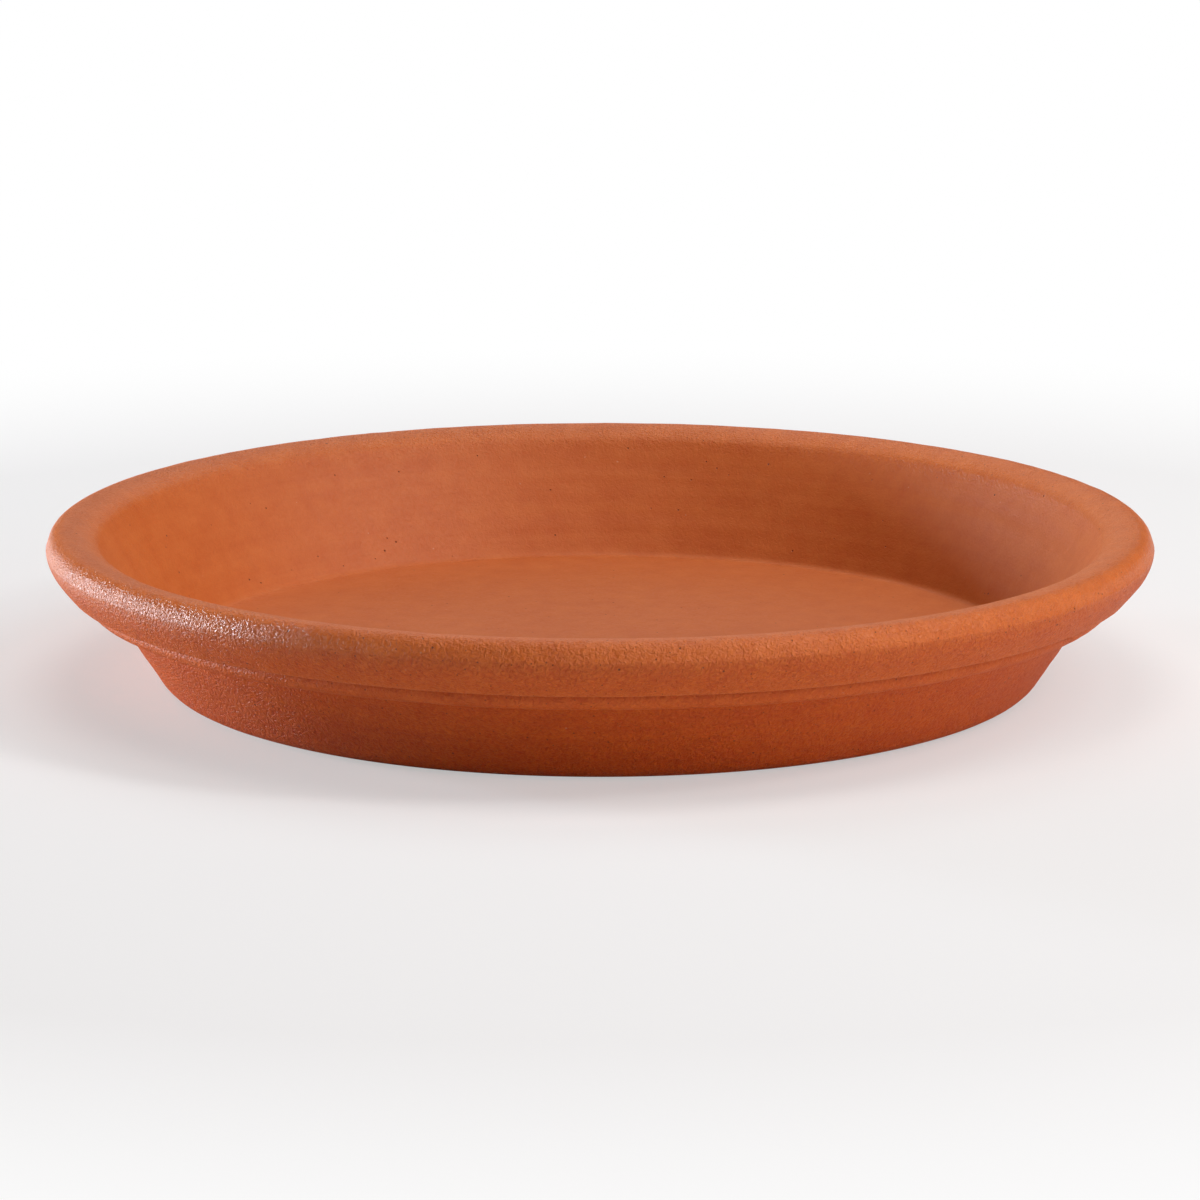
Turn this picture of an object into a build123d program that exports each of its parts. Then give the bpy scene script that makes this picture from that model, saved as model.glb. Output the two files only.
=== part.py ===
from build123d import *

import os
from math import cos, radians, tan

# Round clay plant saucer, pressed and fired in one piece: a flat floor, a flared wall,
# a narrow band and a heavy rolled rim that overhangs the band.
# Millimetres, +Z up, with the origin at the centre of the plane that it stands on.

# Overall sizes
rim_diameter = 305.0  # across the widest line of the rolled rim
height = 43.0  # from the standing ring to the crest of the rim

# Floor and flared wall
floor_thickness = 8.0
wall_thickness = 6.5
flare_angle = 33.0  # lean of both wall faces from the vertical
foot_edge_radius = 7.0  # soft outer edge of the foot
floor_corner_radius = 3.0  # inside corner between floor and wall

# Standing ring round a shallow recess in the underside
standing_ring_width = 20.0
recess_depth = 1.5
recess_corner_radius = 0.5

# Band under the rim
rim_overhang = 10.0  # from the band out to the widest line of the rim
band_step = 7.5  # from the top of the outer wall out to the band
band_height = 4.9
band_edge_radius = 3.2  # lower edge of the band
cove_radius = 3.5  # hollow where the wall runs into the band
groove_radius = 0.6  # bottom of the groove between band and rim

# Rolled rim
rim_height = 15.0  # from the groove to the crest
roll_radius = 4.0  # shoulder from the widest line up to the crest
belly_radius = 10.5  # turn from the widest line down to the slanted underside
undercut_angle = 40.0  # lean of the slanted underside from the vertical
rim_lower_edge_radius = 1.2
lip_drop = 3.0  # fall of the top from the crest to the lip over the dish
lip_radius = 5.0

# Places worked out from the sizes
rim_radius = rim_diameter / 2
band_radius = rim_radius - rim_overhang
groove_z = height - rim_height
band_z = groove_z - band_height
widest_z = height - roll_radius
lip_z = height - lip_drop
flare = tan(radians(flare_angle))
foot_radius = band_radius - band_step - band_z * flare  # outer wall on the standing plane
wall_run = wall_thickness / cos(radians(flare_angle))  # level distance through the wall


def outer_wall(z):
    """Radius of the outer face of the wall at height z."""
    return foot_radius + z * flare


def inner_wall(z):
    """Radius of the inner face of the wall at height z."""
    return outer_wall(z) - wall_run


# Corners of the section, as (radius, height)
recess_top = (foot_radius - standing_ring_width, recess_depth)
recess_foot = (foot_radius - standing_ring_width, 0)
foot_corner = (foot_radius, 0)
cove_corner = (outer_wall(band_z), band_z)
band_corner = (band_radius, band_z)
groove_corner = (band_radius, groove_z)
widest_point = (rim_radius, widest_z)
crest = (rim_radius - roll_radius, height)
lip_corner = (inner_wall(lip_z), lip_z)
floor_corner = (inner_wall(floor_thickness), floor_thickness)

with BuildPart() as saucer:
    with BuildSketch(Plane.XZ) as section:
        with BuildLine():
            # Rolled rim: belly and slanted underside below the widest line, roll and top above it
            belly = JernArc(widest_point, (0, -1), belly_radius, -undercut_angle)
            underside = PolarLine(
                belly @ 1,
                (belly @ 1).Y - groove_z,
                direction=belly % 1,
                length_mode=LengthMode.VERTICAL,
            )
            rim_lower_corner = underside @ 1
            JernArc(widest_point, (0, 1), roll_radius, 90)
            TangentArc(crest, lip_corner, tangent=(-1, 0))
            # Inside of the dish, the axis and the recessed underside
            Polyline(lip_corner, floor_corner, (0, floor_thickness), (0, recess_depth), recess_top)
            # Standing ring and outer wall, then the band up to the lower edge of the rim
            Polyline(recess_top, recess_foot, foot_corner, cove_corner)
            Polyline(cove_corner, band_corner, groove_corner, rim_lower_corner)
        make_face()
        for corner, radius in (
            (recess_top, recess_corner_radius),
            (recess_foot, recess_corner_radius),
            (foot_corner, foot_edge_radius),
            (cove_corner, cove_radius),
            (band_corner, band_edge_radius),
            (groove_corner, groove_radius),
            (rim_lower_corner, rim_lower_edge_radius),
            (lip_corner, lip_radius),
            (floor_corner, floor_corner_radius),
        ):
            fillet(section.vertices().sort_by_distance(corner)[0], radius)
    revolve(axis=Axis.Z)

saucer.part.label = "saucer"

os.makedirs("parts", exist_ok=True)
export_step(saucer.part, "parts/saucer.step")
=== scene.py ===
"""Round plant saucer of unglazed terracotta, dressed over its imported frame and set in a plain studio."""

import logging
import math
from dataclasses import dataclass, field
from enum import Enum

import bpy
import numpy as np
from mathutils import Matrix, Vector


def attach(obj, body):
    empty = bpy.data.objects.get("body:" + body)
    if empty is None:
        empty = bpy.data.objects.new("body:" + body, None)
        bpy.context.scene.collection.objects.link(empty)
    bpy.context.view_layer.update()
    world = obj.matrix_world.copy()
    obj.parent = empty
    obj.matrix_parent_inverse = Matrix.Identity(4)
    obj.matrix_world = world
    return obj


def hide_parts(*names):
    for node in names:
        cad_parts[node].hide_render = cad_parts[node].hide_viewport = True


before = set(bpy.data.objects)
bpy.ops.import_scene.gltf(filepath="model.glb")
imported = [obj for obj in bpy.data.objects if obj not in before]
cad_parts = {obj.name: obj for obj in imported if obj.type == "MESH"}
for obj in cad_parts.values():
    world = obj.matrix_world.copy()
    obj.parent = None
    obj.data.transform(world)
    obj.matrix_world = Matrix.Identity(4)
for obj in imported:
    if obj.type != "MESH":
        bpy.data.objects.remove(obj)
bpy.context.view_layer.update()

log = logging.getLogger("saucer")

MM = 0.001  # metres in a millimetre


def srgb(hex_colour: str) -> tuple[float, float, float, float]:
    """Turns an sRGB hex colour into the linear colour that a shader takes.

    Args:
        hex_colour: six hex digits, with or without a leading #.

    Returns:
        Linear red, green, blue and an alpha of 1.
    """
    digits = hex_colour.lstrip("#")
    parts = [int(digits[i : i + 2], 16) / 255 for i in (0, 2, 4)]
    linear = [c / 12.92 if c <= 0.04045 else ((c + 0.055) / 1.055) ** 2.4 for c in parts]
    return (*linear, 1.0)


def per_metre(size_mm: float) -> float:
    """Scale of a pattern on metre coordinates whose cells are size_mm wide."""
    return 1.0 / (size_mm * MM)


def add_node(
    tree: bpy.types.NodeTree, kind: str, inputs: dict | None = None, **settings: object
) -> bpy.types.Node:
    """Adds one node with its settings and links.

    Args:
        tree: the node tree that it goes into.
        kind: Blender's name for the node, without the ShaderNode in front.
        inputs: for an input's name or number, the output that feeds it or its plain value.
        settings: the node's own properties.

    Returns:
        The new node.
    """
    node = tree.nodes.new("ShaderNode" + kind)
    for name, value in settings.items():
        setattr(node, name, value)
    for key, value in (inputs or {}).items():
        if isinstance(value, bpy.types.NodeSocket):
            tree.links.new(value, node.inputs[key])
        else:
            node.inputs[key].default_value = value
    return node


def waves(points: np.ndarray, length_mm: float, count: int, rng: np.random.Generator) -> np.ndarray:
    """Even, directionless unevenness: the sum of plane waves in random directions and phases.

    Each wave is cos(2 pi (direction . point) / length + phase), with lengths spread over about
    an octave, and the sum is scaled to a mean square of 1.

    Args:
        points: places in millimetres, one row each.
        length_mm: middle wavelength.
        count: number of waves.
        rng: seeded source of the directions, lengths and phases.

    Returns:
        One value for each point.
    """
    ways = rng.normal(size=(count, 3))
    ways /= np.linalg.norm(ways, axis=1, keepdims=True)
    turns = ways / (length_mm * 2 ** rng.uniform(-0.5, 0.5, (count, 1)))
    phases = rng.uniform(0, 2 * np.pi, count)
    return np.cos(2 * np.pi * points @ turns.T + phases).sum(axis=1) * math.sqrt(2 / count)


class Zone(Enum):
    """Stretches of the section, in the order in which it runs from the floor's middle to the underside's."""

    FLOOR = 0
    FLOOR_CORNER = 1
    INNER_WALL = 2
    LIP = 3
    CROWN = 4
    ROLL = 5
    BELLY = 6
    UNDERCUT = 7
    RIM_EDGE = 8
    RIM_LEDGE = 9
    GROOVE = 10
    BAND = 11
    BAND_EDGE = 12
    BAND_LEDGE = 13
    COVE = 14
    OUTER_WALL = 15
    FOOT_EDGE = 16
    STANDING_RING = 17
    RECESS_EDGE = 18
    RECESS_WALL = 19
    RECESS_CORNER = 20
    UNDERSIDE = 21


# What the clay's surface has more or less of from zone to zone, and the width in mm over which it changes.
# In order: proud edges, paler from wear by hands and stacking and lighter still as a painted highlight along
# the crest and the rounded edges; grain, strongest on the outside, which the mould gives its skin, and least
# on the smoothed floor; streaks of the turning tool; painted shade, a deeper, redder clay on the outside and
# the roll's lower face, which lie in shade; the roll, which the smoothing tool has made shinier; painted
# shade, a dark colour in the groove under the rim, where the overhang casts shade.
INSIDE = (Zone.FLOOR, Zone.FLOOR_CORNER, Zone.INNER_WALL)
RIM = (Zone.LIP, Zone.CROWN, Zone.ROLL, Zone.BELLY, Zone.UNDERCUT)
OUTSIDE = tuple(zone for zone in Zone if Zone.RIM_EDGE.value <= zone.value <= Zone.FOOT_EDGE.value)
UNDERNEATH = tuple(zone for zone in Zone if zone.value > Zone.FOOT_EDGE.value)
SURFACE_MARKS: dict[str, tuple[dict[Zone, float], float]] = {
    # proud edges, paler from wear and lighter still on the crest and rounded edges as a painted highlight
    "wear_and_highlight": (
        {
            Zone.LIP: 0.15,
            Zone.CROWN: 0.55,
            Zone.ROLL: 0.9,
            Zone.BELLY: 0.1,
            Zone.UNDERCUT: 0.3,
            Zone.RIM_EDGE: 1.1,
            Zone.BAND_EDGE: 0.4,
        },
        1.0,
    ),
    "coarse": (
        dict(zip(INSIDE, (0.055, 0.11, 0.12)))
        | dict(zip(RIM, (0.35, 0.55, 0.75, 0.9, 0.9)))
        | dict.fromkeys(OUTSIDE, 0.75)
        | dict.fromkeys(UNDERNEATH, 0.5),
        3.0,
    ),
    "tooled": (dict(zip(INSIDE, (0.2, 0.4, 0.5))) | {Zone.OUTER_WALL: 0.7}, 3.0),
    # painted shade: a deeper, redder clay on the outside and the roll's lower face, which lie in shade
    "outside_shade": (
        dict(zip(RIM, (0.0, 0.0, 0.4, 0.9, 1.0))) | dict.fromkeys(OUTSIDE, 1.0),
        4.0,
    ),
    "glossed": (dict(zip(RIM, (0.3, 0.6, 1.0, 0.2, 0.0))), 1.5),
    # painted shade: a dark colour in the groove under the rim, where the overhang casts shade
    "groove_shade": ({Zone.RIM_LEDGE: 1.0, Zone.GROOVE: 1.0, Zone.BAND: 0.5}, 1.0),
}


@dataclass(frozen=True)
class Stretch:
    """One line or arc of the section, sampled from its start, with its end left to the next stretch."""

    zone: Zone
    points: np.ndarray

    @classmethod
    def line(
        cls, zone: Zone, start: tuple[float, float], end: tuple[float, float], steps: int, ease: float = 1.0
    ) -> "Stretch":
        """Straight stretch: start + t (end - start), with t running from 0 to 1.

        Args:
            zone: name of the stretch.
            start: radius and height of its first point, in millimetres.
            end: radius and height of the next stretch's first point.
            steps: number of points.
            ease: power of the steps; below 1 they crowd towards the end.

        Returns:
            The sampled stretch.
        """
        t = (np.arange(steps) / steps)[:, None] ** ease
        return cls(zone, np.array(start) + t * (np.array(end) - np.array(start)))

    @classmethod
    def arc(
        cls, zone: Zone, centre: tuple[float, float], radius: float, first: float, last: float, steps: int
    ) -> "Stretch":
        """Round stretch: centre + radius (cos a, sin a), with a running from first to last.

        Args:
            zone: name of the stretch.
            centre: radius and height of the arc's centre, in millimetres.
            radius: the arc's own radius.
            first: angle of its first point in degrees, 0 pointing away from the axis and 90 up.
            last: angle of the next stretch's first point.
            steps: number of points.

        Returns:
            The sampled stretch.
        """
        a = np.radians(first + (last - first) * np.arange(steps) / steps)[:, None]
        return cls(zone, np.array(centre) + radius * np.hstack([np.cos(a), np.sin(a)]))


@dataclass(frozen=True)
class FiredClay:
    """Unglazed terracotta, pressed in a plaster mould, sponged and fired.

    Iron gives it its orange red. It is matte and porous, with a fine leathery grain from the
    mould, faint streaks from the turning tool, pores, dark grains of iron and pale grog. Hands and
    stacking have made its edges paler, and the crest and the rounded edges are lightened further as a
    painted highlight. The smoothed roll of the rim has a low gloss. The outside and the roll's lower face
    take a deeper, redder clay as painted shade, and the groove under the rim a dark colour as painted
    shade. The grain, pores and specks are drawn about twice as coarse as real ones, which would be too
    fine to show.
    """

    clay: str = "#CA6728"
    clay_warm: str = "#CE6C2E"
    # deeper, redder copy of the clay, painted as shade where the outside lies in shade
    clay_outside_shade: str = "#D25A0C"
    mottle_swing: tuple[float, float, float] = (0.05, 0.12, 0.2)
    streak_swing: tuple[float, float, float] = (0.06, 0.14, 0.22)
    grain_swing: tuple[float, float, float] = (0.16, 0.42, 0.6)
    # pale orange of the edges: wear, and a painted highlight on the crest and the rounded edges
    wear_and_highlight_colour: str = "#EE8038"
    iron: str = "#4E2012"
    # dark colour painted as shade in the groove under the rim
    groove_shade_colour: str = "#5A2A14"
    grog: str = "#D8A482"
    roughness: float = 0.57
    roughness_swing: float = 0.05  # more and less of it in the grain's hollows and on its tops
    polish: float = 0.18  # taken off the roughness where the clay is glossed
    ior: float = 1.5
    specular: float = 0.42
    cloud_mm: float = 48.0
    mottle_mm: float = 7.0
    grain_mm: float = 0.85
    streak_mm: tuple[float, float] = (85.0, 3.0)
    turning_radius_mm: float = 130.0
    iron_cell_mm: float = 3.8
    iron_mm: float = 0.4
    iron_share: float = 0.5
    pore_cell_mm: float = 1.7
    pore_mm: float = 0.34
    pore_share: float = 0.35
    grog_cell_mm: float = 5.0
    grog_mm: float = 0.4
    grog_share: float = 0.35
    iron_cover: float = 0.8
    grog_cover: float = 0.5
    groove_shade_cover: float = 0.22
    wear_and_highlight_cover: tuple[float, float] = (0.3, 0.55)  # least and most, by the mottling
    grain_height_mm: float = 0.95
    mottle_height_mm: float = 0.06
    streak_height_mm: float = 0.04
    pit_depth_mm: float = 0.2

    def spots(
        self,
        tree: bpy.types.NodeTree,
        place: bpy.types.NodeSocket,
        cell_mm: float,
        spot_mm: float,
        share: float,
    ) -> bpy.types.NodeSocket:
        """Scattered round spots: cells of cell_mm, of which a share has a spot at its point.

        Args:
            tree: the material's node tree.
            place: coordinates in metres.
            cell_mm: mean distance between the cells' points.
            spot_mm: radius of the largest spots.
            share: part of the cells that have one, from 0 to 1.

        Returns:
            Output that is 1 in a spot's middle and 0 outside.
        """
        cells = add_node(tree, "TexVoronoi", {"Vector": place, "Scale": per_metre(cell_mm)})
        chance = add_node(tree, "SeparateColor", {0: cells.outputs["Color"]})
        half = 0.5 * spot_mm / cell_mm
        reach = add_node(tree, "Math", {0: chance.outputs[1], 1: half, 2: half}, operation="MULTIPLY_ADD")
        ratio = add_node(
            tree, "Math", {0: cells.outputs["Distance"], 1: reach.outputs[0]}, operation="DIVIDE"
        )
        near = add_node(tree, "MapRange", {"Value": ratio.outputs[0], 1: 0.4, 2: 1.0, 3: 1.0, 4: 0.0})
        taken = add_node(tree, "Math", {0: chance.outputs[0], 1: share}, operation="LESS_THAN")
        spot = add_node(tree, "Math", {0: near.outputs[0], 1: taken.outputs[0]}, operation="MULTIPLY")
        return spot.outputs[0]

    def tone(
        self,
        tree: bpy.types.NodeTree,
        colour: bpy.types.NodeSocket,
        pattern: bpy.types.NodeSocket,
        swing: tuple[float, float, float],
        amount: bpy.types.NodeSocket | float,
    ) -> bpy.types.NodeSocket:
        """Darkens a colour where a pattern is low and lightens it where it is high.

        Each of red, green and blue is multiplied by 1 - swing to 1 + swing as the pattern goes from
        0.25 to 0.75, so that the mean colour stays.

        Args:
            tree: the material's node tree.
            colour: the colour so far.
            pattern: a noise with its middle at 0.5.
            swing: the swing of red, green and blue.
            amount: share of the change that is taken.

        Returns:
            Output of the changed colour.
        """
        low = tuple(1 - s for s in swing) + (1.0,)
        high = tuple(1 + s for s in swing) + (1.0,)
        level = add_node(tree, "MapRange", {"Value": pattern, 1: 0.25, 2: 0.75}).outputs[0]
        factor = add_node(tree, "Mix", {0: level, 6: low, 7: high}, data_type="RGBA").outputs[2]
        return add_node(
            tree, "Mix", {0: amount, 6: colour, 7: factor}, data_type="RGBA", blend_type="MULTIPLY"
        ).outputs[2]

    def material(self) -> bpy.types.Material:
        """Builds the clay's material.

        The colour is the clay with firing clouds, a deeper, redder clay painted as shade on the outside,
        mottling, streaks and grain, and over it the paler edges from wear with their painted highlight, the
        dark painted shade in the groove, grog, iron and pores. The height, in metres, is the grain, the
        mottling and the streaks added up, less the pits.

        Returns:
            The material.
        """
        made = bpy.data.materials.new("terracotta_unglazed_pressed")
        made.use_nodes = True
        tree = made.node_tree
        tree.nodes.clear()
        place = add_node(tree, "TexCoord").outputs["Object"]
        turned = add_node(tree, "Attribute", attribute_name="turned").outputs["Vector"]
        wear_and_highlight, coarse, tooled, outside_shade, glossed, groove_shade = (
            add_node(tree, "Attribute", attribute_name=name).outputs["Fac"] for name in SURFACE_MARKS
        )

        cloud = add_node(
            tree,
            "TexNoise",
            {"Vector": place, "Scale": per_metre(self.cloud_mm), "Detail": 3.0, "Roughness": 0.55},
        ).outputs[0]
        mottle = add_node(
            tree,
            "TexNoise",
            {"Vector": place, "Scale": per_metre(self.mottle_mm), "Detail": 3.0, "Roughness": 0.6},
        ).outputs[0]
        leather = {"Detail": 2.0, "Roughness": 0.5, "Distortion": 0.8}
        grain = add_node(
            tree, "TexNoise", {"Vector": place, "Scale": per_metre(self.grain_mm), **leather}
        ).outputs[0]
        along = self.turning_radius_mm / self.streak_mm[0]
        lanes = add_node(
            tree, "Mapping", {"Vector": turned, "Scale": (along, along, per_metre(self.streak_mm[1]))}
        ).outputs[0]
        streak = add_node(
            tree, "TexNoise", {"Vector": lanes, "Scale": 1.0, "Detail": 3.0, "Roughness": 0.6}
        ).outputs[0]
        iron = self.spots(tree, place, self.iron_cell_mm, self.iron_mm, self.iron_share)
        pores = self.spots(tree, place, self.pore_cell_mm, self.pore_mm, self.pore_share)
        pores = add_node(tree, "Math", {0: pores, 1: coarse}, operation="MULTIPLY").outputs[0]
        iron = add_node(tree, "Math", {0: iron, 1: pores}, operation="MAXIMUM").outputs[0]
        grog = self.spots(tree, place, self.grog_cell_mm, self.grog_mm, self.grog_share)

        clouds = add_node(tree, "MapRange", {"Value": cloud, 1: 0.3, 2: 0.7}).outputs[0]
        colour = add_node(
            tree, "Mix", {0: clouds, 6: srgb(self.clay), 7: srgb(self.clay_warm)}, data_type="RGBA"
        ).outputs[2]
        # painted shade: the outside and the roll's lower face turn to the deeper, redder clay
        colour = add_node(
            tree, "Mix", {0: outside_shade, 6: colour, 7: srgb(self.clay_outside_shade)}, data_type="RGBA"
        ).outputs[2]
        colour = self.tone(tree, colour, mottle, self.mottle_swing, 1.0)
        colour = self.tone(tree, colour, streak, self.streak_swing, tooled)
        colour = self.tone(tree, colour, grain, self.grain_swing, coarse)
        least, most = self.wear_and_highlight_cover
        # how much of the pale edge colour, wear with a painted highlight, each edge takes
        wear_and_highlight_share = add_node(tree, "MapRange", {"Value": mottle, 1: 0.3, 2: 0.7, 3: least, 4: most}).outputs[0]
        for amount, cover, over in (
            (wear_and_highlight, wear_and_highlight_share, self.wear_and_highlight_colour),
            # painted shade in the groove under the rim
            (groove_shade, self.groove_shade_cover, self.groove_shade_colour),
            (grog, self.grog_cover, self.grog),
            (iron, self.iron_cover, self.iron),
        ):
            share = add_node(tree, "Math", {0: amount, 1: cover}, operation="MULTIPLY").outputs[0]
            colour = add_node(tree, "Mix", {0: share, 6: colour, 7: srgb(over)}, data_type="RGBA").outputs[2]

        height = add_node(tree, "Math", {0: grain, 1: coarse}, operation="MULTIPLY").outputs[0]
        height = add_node(
            tree, "Math", {0: height, 1: self.grain_height_mm * MM}, operation="MULTIPLY"
        ).outputs[0]
        for pattern, rise_mm in (
            (mottle, self.mottle_height_mm),
            (streak, self.streak_height_mm),
            (iron, -self.pit_depth_mm),
        ):
            height = add_node(
                tree, "Math", {0: pattern, 1: rise_mm * MM, 2: height}, operation="MULTIPLY_ADD"
            ).outputs[0]
        bump = add_node(tree, "Bump", {"Strength": 1.0, "Distance": 1.0, "Height": height}).outputs[0]
        dull, shiny = self.roughness + self.roughness_swing, self.roughness - self.roughness_swing
        rough = add_node(tree, "MapRange", {"Value": grain, 1: 0.3, 2: 0.7, 3: dull, 4: shiny}).outputs[0]
        rough = add_node(
            tree, "Math", {0: glossed, 1: -self.polish, 2: rough}, operation="MULTIPLY_ADD"
        ).outputs[0]
        shader = add_node(
            tree,
            "BsdfPrincipled",
            {
                "Base Color": colour,
                "Roughness": rough,
                "Normal": bump,
                "IOR": self.ior,
                "Specular IOR Level": self.specular,
            },
        )
        add_node(tree, "OutputMaterial", {"Surface": shader.outputs[0]})
        return made


@dataclass
class Saucer:
    """The saucer in one piece: floor, flared wall, band and rolled rim, with the marks of making on them.

    Sizes are in millimetres and repeat those of the solid part, whose section the mesh follows. Only
    the facet on the roll and its shoulder are the mesh's own.
    """

    rim_diameter: float = 305.0
    height: float = 43.0
    floor_thickness: float = 8.0
    wall_thickness: float = 6.5
    flare_angle: float = 33.0
    foot_edge_radius: float = 7.0
    floor_corner_radius: float = 3.0
    standing_ring_width: float = 20.0
    recess_depth: float = 1.5
    recess_corner_radius: float = 0.5
    rim_overhang: float = 10.0
    band_step: float = 7.5
    band_height: float = 4.9
    band_edge_radius: float = 3.2
    cove_radius: float = 3.5
    groove_radius: float = 0.6
    rim_height: float = 15.0
    roll_radius: float = 4.0
    facet_lean: float = 18.0  # degrees that the tool's narrow facet on the roll leans back
    facet_length: float = 2.2
    shoulder_turn: float = 6.0  # how far the belly has turned down where the facet meets it
    shoulder_radius: float = 0.5
    belly_radius: float = 10.5
    undercut_angle: float = 40.0
    rim_lower_edge_radius: float = 1.2
    lip_drop: float = 3.0
    lip_radius: float = 5.0
    uneven: tuple[tuple[float, float, int], ...] = (  # height, wavelength and number of waves
        (0.03, 55.0, 40),
        (0.02, 17.0, 60),
        (0.012, 7.0, 80),
    )
    ring_spacings: tuple[float, ...] = (5.3, 7.9, 12.5)
    ring_heights: tuple[float, float] = (0.02, 0.006)  # on tooled faces and on the others
    dents: int = 70
    dent_widths: tuple[float, float] = (1.7, 3.6)
    dent_depths: tuple[float, float] = (0.05, 0.2)
    steps_round: int = 600
    seed: int = 7
    finish: FiredClay = field(default_factory=FiredClay)

    def section(self) -> list[Stretch]:
        """Runs the section from the middle of the floor over the rim to the middle of the underside.

        Lines and arcs meet with a common tangent. A corner of turn t rounded at radius q starts
        q tan(t / 2) before the corner. The lip's centre lies on the wall's line moved into the clay
        by the lip's radius, at the crown's radius less the lip's from the crown's centre. The roll is
        the arc from the facet's top that comes level at the full height.

        Returns:
            The stretches in order.
        """
        lean = math.radians(self.flare_angle)
        flare = math.tan(lean)
        half_turn = math.tan(math.radians(90 - self.flare_angle) / 2)
        rim = self.rim_diameter / 2
        band = rim - self.rim_overhang
        groove_z = self.height - self.rim_height
        band_z = groove_z - self.band_height
        wall_top = band - self.band_step
        foot = wall_top - band_z * flare
        wall_run = self.wall_thickness / math.cos(lean)
        widest_z = self.height - self.roll_radius

        # Up from the belly: a tight shoulder, the facet, then a roll that reaches the full height level
        tilt, turned = math.radians(self.facet_lean), math.radians(self.shoulder_turn)
        belly_r = rim - self.belly_radius
        reach = self.belly_radius - self.shoulder_radius
        shoulder = (belly_r + reach * math.cos(turned), widest_z - reach * math.sin(turned))
        facet_foot = (
            shoulder[0] + self.shoulder_radius * math.cos(tilt),
            shoulder[1] + self.shoulder_radius * math.sin(tilt),
        )
        facet_top = (
            facet_foot[0] - self.facet_length * math.sin(tilt),
            facet_foot[1] + self.facet_length * math.cos(tilt),
        )
        roll = (self.height - facet_top[1]) / (1 - math.sin(tilt))
        crest_r = facet_top[0] - roll * math.cos(tilt)

        corner = foot + self.floor_thickness * flare - wall_run
        floor_r = corner - self.floor_corner_radius * half_turn
        floor_z = self.floor_thickness + self.floor_corner_radius
        wall_foot = (
            floor_r + self.floor_corner_radius * math.cos(lean),
            floor_z - self.floor_corner_radius * math.sin(lean),
        )

        lip_z = self.height - self.lip_drop
        lip_r = foot + lip_z * flare - wall_run
        crown = ((crest_r - lip_r) ** 2 + self.lip_drop**2) / (2 * self.lip_drop)
        crown_z = self.height - crown
        # The lip's centre is (base + z flare, z), which makes a quadratic in its height z
        base = foot - wall_run + self.lip_radius / math.cos(lean) - crest_r
        a = flare**2 + 1
        b = 2 * (base * flare - crown_z)
        c = base**2 + crown_z**2 - (crown - self.lip_radius) ** 2
        lip_cz = (-b + math.sqrt(b * b - 4 * a * c)) / (2 * a)
        lip_cr = base + crest_r + lip_cz * flare
        lip_turn = math.degrees(math.atan2(lip_cz - crown_z, lip_cr - crest_r))
        lip_foot = (
            lip_cr - self.lip_radius * math.cos(lean),
            lip_cz + self.lip_radius * math.sin(lean),
        )

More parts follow.
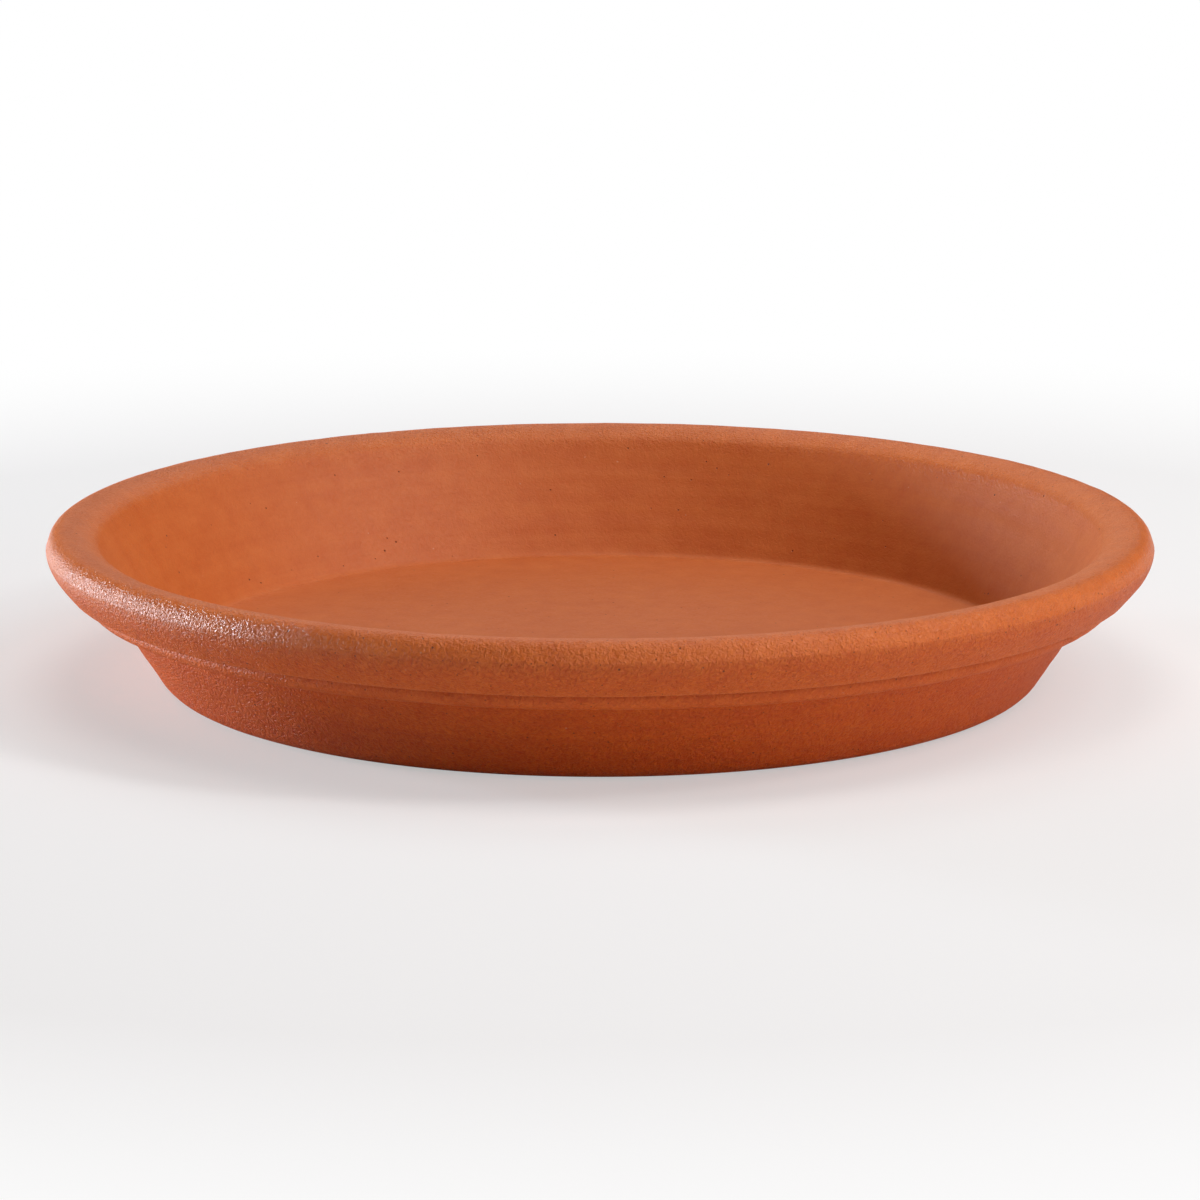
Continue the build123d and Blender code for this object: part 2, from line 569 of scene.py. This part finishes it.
        under = math.radians(self.undercut_angle)
        slant = (
            belly_r + self.belly_radius * math.cos(under),
            widest_z - self.belly_radius * math.sin(under),
        )
        edge = slant[0] - (slant[1] - groove_z) * math.tan(under)
        edge_r = edge - self.rim_lower_edge_radius * math.tan(math.radians(90 - self.undercut_angle) / 2)
        edge_z = groove_z + self.rim_lower_edge_radius
        slant_end = (
            edge_r + self.rim_lower_edge_radius * math.cos(under),
            edge_z - self.rim_lower_edge_radius * math.sin(under),
        )
        groove_r = band + self.groove_radius
        band_low = band_z + self.band_edge_radius
        cove_r = wall_top + self.cove_radius * half_turn
        cove_z = band_z - self.cove_radius
        cove_end = (
            cove_r - self.cove_radius * math.cos(lean),
            cove_z + self.cove_radius * math.sin(lean),
        )
        foot_r = foot - self.foot_edge_radius * half_turn
        foot_start = (
            foot_r + self.foot_edge_radius * math.cos(lean),
            self.foot_edge_radius * (1 - math.sin(lean)),
        )
        ring = foot - self.standing_ring_width
        soft = self.recess_corner_radius
        return [
            Stretch.line(Zone.FLOOR, (0, self.floor_thickness), (floor_r, self.floor_thickness), 24, 0.8),
            Stretch.arc(
                Zone.FLOOR_CORNER, (floor_r, floor_z), self.floor_corner_radius, -90, -self.flare_angle, 6
            ),
            Stretch.line(Zone.INNER_WALL, wall_foot, lip_foot, 25),
            Stretch.arc(Zone.LIP, (lip_cr, lip_cz), self.lip_radius, 180 - self.flare_angle, lip_turn, 6),
            Stretch.arc(Zone.CROWN, (crest_r, crown_z), crown, lip_turn, 90, 8),
            Stretch.arc(Zone.ROLL, (crest_r, self.height - roll), roll, 90, self.facet_lean, 7),
            Stretch.line(Zone.ROLL, facet_top, facet_foot, 3),
            Stretch.arc(
                Zone.ROLL, shoulder, self.shoulder_radius, self.facet_lean, -self.shoulder_turn, 4
            ),
            Stretch.arc(
                Zone.BELLY,
                (belly_r, widest_z),
                self.belly_radius,
                -self.shoulder_turn,
                -self.undercut_angle,
                8,
            ),
            Stretch.line(Zone.UNDERCUT, slant, slant_end, 5),
            Stretch.arc(
                Zone.RIM_EDGE, (edge_r, edge_z), self.rim_lower_edge_radius, -self.undercut_angle, -90, 4
            ),
            Stretch.line(Zone.RIM_LEDGE, (edge_r, groove_z), (groove_r, groove_z), 3),
            Stretch.arc(
                Zone.GROOVE, (groove_r, groove_z - self.groove_radius), self.groove_radius, 90, 180, 4
            ),
            Stretch.line(Zone.BAND, (band, groove_z - self.groove_radius), (band, band_low), 2),
            Stretch.arc(
                Zone.BAND_EDGE, (band - self.band_edge_radius, band_low), self.band_edge_radius, 0, -90, 7
            ),
            Stretch.line(Zone.BAND_LEDGE, (band - self.band_edge_radius, band_z), (cove_r, band_z), 2),
            Stretch.arc(Zone.COVE, (cove_r, cove_z), self.cove_radius, 90, 180 - self.flare_angle, 5),
            Stretch.line(Zone.OUTER_WALL, cove_end, foot_start, 15),
            Stretch.arc(
                Zone.FOOT_EDGE,
                (foot_r, self.foot_edge_radius),
                self.foot_edge_radius,
                -self.flare_angle,
                -90,
                7,
            ),
            Stretch.line(Zone.STANDING_RING, (foot_r, 0), (ring + soft, 0), 4),
            Stretch.arc(Zone.RECESS_EDGE, (ring + soft, soft), soft, -90, -180, 3),
            Stretch.line(Zone.RECESS_WALL, (ring, soft), (ring, self.recess_depth - soft), 1),
            Stretch.arc(Zone.RECESS_CORNER, (ring - soft, self.recess_depth - soft), soft, 0, 90, 3),
            Stretch.line(Zone.UNDERSIDE, (ring - soft, self.recess_depth), (0, self.recess_depth), 9),
        ]

    def relief(
        self,
        points: np.ndarray,
        turn: np.ndarray,
        run: np.ndarray,
        zone: np.ndarray,
        rng: np.random.Generator,
    ) -> np.ndarray:
        """Height of the real surface over the clean section.

        Long, middle and short unevenness is added to tool rings, which are waves along the section
        whose phase wanders round the turn, and dents, each -depth exp(-(distance / width)^2), are
        taken off. All of it fades out on the standing ring.

        Args:
            points: places on the clean section, in millimetres.
            turn: angle of each point about the axis.
            run: distance of each point along the section.
            zone: number of each point's zone.
            rng: seeded source of the marks.

        Returns:
            Height in millimetres for each point.
        """
        height = np.zeros(len(points))
        for rise, length, count in self.uneven:
            height += rise * waves(points, length, count, rng)
        tooled = np.isin(zone, [z.value for z in (Zone.FLOOR, Zone.INNER_WALL, Zone.OUTER_WALL)])
        ring_height = np.where(tooled, *self.ring_heights)
        for spacing in self.ring_spacings:
            wander = rng.uniform(0.5, 1.5) * np.cos(turn + rng.uniform(0, 6.28))
            wander += rng.uniform(0.3, 0.9) * np.cos(3 * turn + rng.uniform(0, 6.28))
            height += ring_height * np.cos(2 * np.pi * run / spacing + wander)
        shown = np.flatnonzero(zone <= Zone.FOOT_EDGE.value)
        middles = points[rng.choice(shown, self.dents, replace=False)]
        widths = rng.uniform(*self.dent_widths, self.dents)
        depths = rng.uniform(*self.dent_depths, self.dents)
        gaps = ((points[:, None, :] - middles[None, :, :]) ** 2).sum(axis=2)
        height -= (depths * np.exp(-gaps / widths**2)).sum(axis=1)
        return height * np.clip((points[:, 2] - 0.2) / 3.0, 0.0, 1.0)

    def build(self) -> bpy.types.Object:
        """Turns the section about the axis into one closed mesh and gives it its marks.

        A point of the section at radius r and height z becomes (r cos a, r sin a, z) for each of
        the even angles a. It moves along the section's normal by the relief, and the whole is then
        scaled to the solid's own width and height.

        Returns:
            The saucer's object.
        """
        stretches = self.section()
        flat = np.vstack([s.points for s in stretches] + [[[0.0, self.recess_depth]]])
        zones = [np.full(len(s.points), s.zone.value) for s in stretches]
        zones = np.concatenate(zones + [[Zone.UNDERSIDE.value]])
        runs = np.concatenate([[0.0], np.cumsum(np.linalg.norm(np.diff(flat, axis=0), axis=1))])
        slope = np.gradient(flat, runs, axis=0)
        slope[0], slope[-1] = (1, 0), (-1, 0)
        slope /= np.linalg.norm(slope, axis=1, keepdims=True)

        # One point at each pole and steps_round points on each ring between them
        count = self.steps_round
        inner = np.arange(1, len(flat) - 1)
        ring = np.concatenate([[0], np.repeat(inner, count), [len(flat) - 1]])
        turn = np.concatenate([[0.0], np.tile(2 * np.pi * np.arange(count) / count, len(inner)), [0.0]])
        cos, sin = np.cos(turn), np.sin(turn)
        points = np.column_stack([flat[ring, 0] * cos, flat[ring, 0] * sin, flat[ring, 1]])
        out, up = -slope[ring, 1], slope[ring, 0]
        normals = np.column_stack([out * cos, out * sin, up])
        rng = np.random.default_rng(self.seed)
        points += normals * self.relief(points, turn, runs[ring], zones[ring], rng)[:, None]
        points[:, :2] *= self.rim_diameter / 2 / np.hypot(points[:, 0], points[:, 1]).max()
        points[:, 2] *= self.height / points[:, 2].max()

        first = 1 + count * np.arange(len(inner))
        step, after = np.arange(count), (np.arange(count) + 1) % count
        rows, nexts = first[:-1, None], first[1:, None]
        quads = np.stack([rows + step, nexts + step, nexts + after, rows + after], axis=-1).reshape(-1, 4)
        last = len(points) - 1
        top = np.column_stack([np.zeros(count, int), first[0] + step, first[0] + after])
        bottom = np.column_stack([np.full(count, last), first[-1] + after, first[-1] + step])

        mesh = bpy.data.meshes.new("saucer_clay")
        mesh.from_pydata((points * MM).tolist(), [], quads.tolist() + top.tolist() + bottom.tolist())
        mesh.shade_smooth()
        # Where a pattern goes round the wheel: the turn as a unit circle, and the run in metres
        turned = np.column_stack([cos, sin, runs[ring] * MM])
        mesh.attributes.new("turned", "FLOAT_VECTOR", "POINT").data.foreach_set("vector", turned.ravel())
        for name, (amounts, width) in SURFACE_MARKS.items():
            values = self.spread(zones, runs, amounts, width)[ring]
            mesh.attributes.new(name, "FLOAT", "POINT").data.foreach_set("value", values)
        mesh.validate()
        made = bpy.data.objects.new("saucer_clay", mesh)
        bpy.context.scene.collection.objects.link(made)
        return made

    def spread(
        self, zones: np.ndarray, runs: np.ndarray, amounts: dict[Zone, float], width_mm: float
    ) -> np.ndarray:
        """Gives each ring its zone's amount, blended into its neighbours'.

        A ring's value is the mean of all the rings' amounts, each weighted by the length of section
        that it stands for and by exp(-(distance / width)^2).

        Args:
            zones: number of each ring's zone.
            runs: each ring's distance along the section, in millimetres.
            amounts: the zones' amounts; a zone that isn't named has none.
            width_mm: width of the blend.

        Returns:
            One value for each ring.
        """
        table = np.array([amounts.get(zone, 0.0) for zone in Zone])
        weights = np.exp(-(((runs[:, None] - runs[None, :]) / width_mm) ** 2)) * np.gradient(runs)[None, :]
        return weights @ table[zones] / weights.sum(axis=1)

    def dress(self, made: bpy.types.Object) -> None:
        """Gives the object its clay and ties it to the frame.

        Args:
            made: the saucer's object.
        """
        made.data.materials.append(self.finish.material())
        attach(made, "root")
        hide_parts("saucer")


@dataclass(frozen=True)
class Lamp:
    """A soft square lamp that hangs on a sphere round the saucer and points at its middle."""

    name: str
    azimuth: float  # degrees; 0 is the camera's side and 90 the right
    elevation: float
    size: float  # metres along a side
    power: float  # watts
    tint: str = "#FFFFFF"
    distance: float = 1.6

    def hang(self) -> None:
        """Adds the lamp to the scene."""
        light = bpy.data.lights.new(self.name, "AREA")
        light.shape = "SQUARE"
        light.size = self.size
        light.energy = self.power
        light.color = srgb(self.tint)[:3]
        lamp = bpy.data.objects.new(self.name, light)
        a, e = math.radians(self.azimuth), math.radians(self.elevation)
        away = Vector((math.sin(a) * math.cos(e), -math.cos(a) * math.cos(e), math.sin(e)))
        lamp.location = away * self.distance
        lamp.rotation_euler = away.to_track_quat("Z", "Y").to_euler()
        bpy.context.scene.collection.objects.link(lamp)


@dataclass
class Studio:
    """Pale floor, white surroundings and soft lamps."""

    floor_side: float = 40.0
    floor_white: str = "#F2F2F2"
    shadow_reach: tuple[float, float] = (0.16, 0.55)  # metres over which the floor turns to plain white
    shadow_veil: float = 0.45  # share of plain white near the saucer
    ambient: float = 0.03
    lamps: tuple[Lamp, ...] = (
        Lamp("left_low", 258, 2.8, 0.4, 10.5),
        Lamp("back_left", 242, 5.8, 0.25, 24.0, "#DEF0FF"),
        Lamp("front_right", 50, 18, 0.8, 6.8, "#FFF8F4"),
        Lamp("right", 69, 42, 0.3, 5.8),
        Lamp("right_high", 86, 58, 0.6, 4.4),
        Lamp("right_back", 112, 42, 0.8, 1.4),
        Lamp("top", 0, 82, 0.8, 5.8, "#FFEAE4"),
        Lamp("back_high", 180, 56, 0.8, 4.0),
        Lamp("back_low", 182, 24, 0.8, 1.3),
    )

    def lay_floor(self) -> None:
        """Lays a level floor of white paper, which takes the saucer's shadow and is plain white further out.

        The part of the paper that the eye and reflections see as plain white grows from 0 to 1 with
        the distance from the saucer's middle, over shadow_reach, and for the eye it is at least
        shadow_veil, which keeps the shadow light.
        """
        half = self.floor_side / 2
        mesh = bpy.data.meshes.new("floor")
        corners = [(-half, -half, 0), (half, -half, 0), (half, half, 0), (-half, half, 0)]
        mesh.from_pydata(corners, [], [(0, 1, 2, 3)])
        paper = bpy.data.materials.new("paper_matte_white")
        paper.use_nodes = True
        tree = paper.node_tree
        tree.nodes.clear()
        path = add_node(tree, "LightPath").outputs
        seen = add_node(
            tree, "Math", {0: path["Is Camera Ray"], 1: path["Is Glossy Ray"]}, operation="MAXIMUM"
        ).outputs[0]
        seen = add_node(
            tree, "Math", {0: seen, 1: path["Is Transmission Ray"]}, operation="MAXIMUM"
        ).outputs[0]
        place = add_node(tree, "TexCoord").outputs["Object"]
        away = add_node(tree, "VectorMath", {0: place}, operation="LENGTH").outputs["Value"]
        start, end = self.shadow_reach
        far = add_node(
            tree, "MapRange", {"Value": away, 1: start, 2: end}, interpolation_type="SMOOTHSTEP"
        ).outputs[0]
        far = add_node(tree, "Math", {0: far, 1: seen}, operation="MULTIPLY").outputs[0]
        veil = add_node(
            tree, "Math", {0: path["Is Camera Ray"], 1: self.shadow_veil}, operation="MULTIPLY"
        ).outputs[0]
        plain = add_node(tree, "Math", {0: far, 1: veil}, operation="MAXIMUM").outputs[0]
        lit = add_node(tree, "BsdfDiffuse", {"Color": srgb(self.floor_white)}).outputs[0]
        white = add_node(tree, "Emission", {"Color": (1, 1, 1, 1), "Strength": 1.0}).outputs[0]
        look = add_node(tree, "MixShader", {0: plain, 1: lit, 2: white}).outputs[0]
        add_node(tree, "OutputMaterial", {"Surface": look})
        mesh.materials.append(paper)
        floor = bpy.data.objects.new("floor", mesh)
        bpy.context.scene.collection.objects.link(floor)

    def surround(self) -> None:
        """Sets an even, dim white world, which fills the shadows."""
        world = bpy.data.worlds.new("studio")
        bpy.context.scene.world = world
        world.use_nodes = True
        tree = world.node_tree
        tree.nodes.clear()
        light = add_node(tree, "Background", {"Color": (1, 1, 1, 1), "Strength": self.ambient})
        add_node(tree, "OutputWorld", {"Surface": light.outputs[0]})

    def build(self) -> None:
        """Lays the floor, sets the surroundings and hangs the lamps."""
        self.lay_floor()
        self.surround()
        for lamp in self.lamps:
            lamp.hang()


@dataclass(frozen=True)
class Viewpoint:
    """Camera in front of the saucer and a little above it, as its photograph was taken."""

    distance: float = 1.4  # metres to the middle of the standing plane
    elevation: float = 13.289  # degrees
    pitch: float = 0.814  # degrees that it looks above that middle
    focal: float = 5035.0  # focal length in the picture's pixels
    picture: float = 1200.0  # the picture's side in pixels

    def set_up(self) -> None:
        """Adds the camera and makes it the scene's own."""
        lens = bpy.data.cameras.new("camera")
        lens.sensor_width = 36.0
        lens.lens = self.focal / self.picture * lens.sensor_width
        lens.clip_end = 60.0
        camera = bpy.data.objects.new("camera", lens)
        e = math.radians(self.elevation)
        camera.location = (0, -self.distance * math.cos(e), self.distance * math.sin(e))
        camera.rotation_euler = (math.radians(90 - self.elevation + self.pitch), 0, 0)
        bpy.context.scene.collection.objects.link(camera)
        bpy.context.scene.camera = camera


def main() -> None:
    """Builds the saucer, the studio and the camera in order and reports each."""
    logging.basicConfig(level=logging.INFO, format="%(name)s: %(message)s")
    bpy.context.scene.view_settings.view_transform = "Standard"
    saucer = Saucer()
    made = saucer.build()
    saucer.dress(made)
    log.info("%s: %d faces", made.name, len(made.data.polygons))
    Studio().build()
    Viewpoint().set_up()
    log.info("studio and camera are set")
    bpy.context.view_layer.update()


if __name__ == "__main__":
    main()
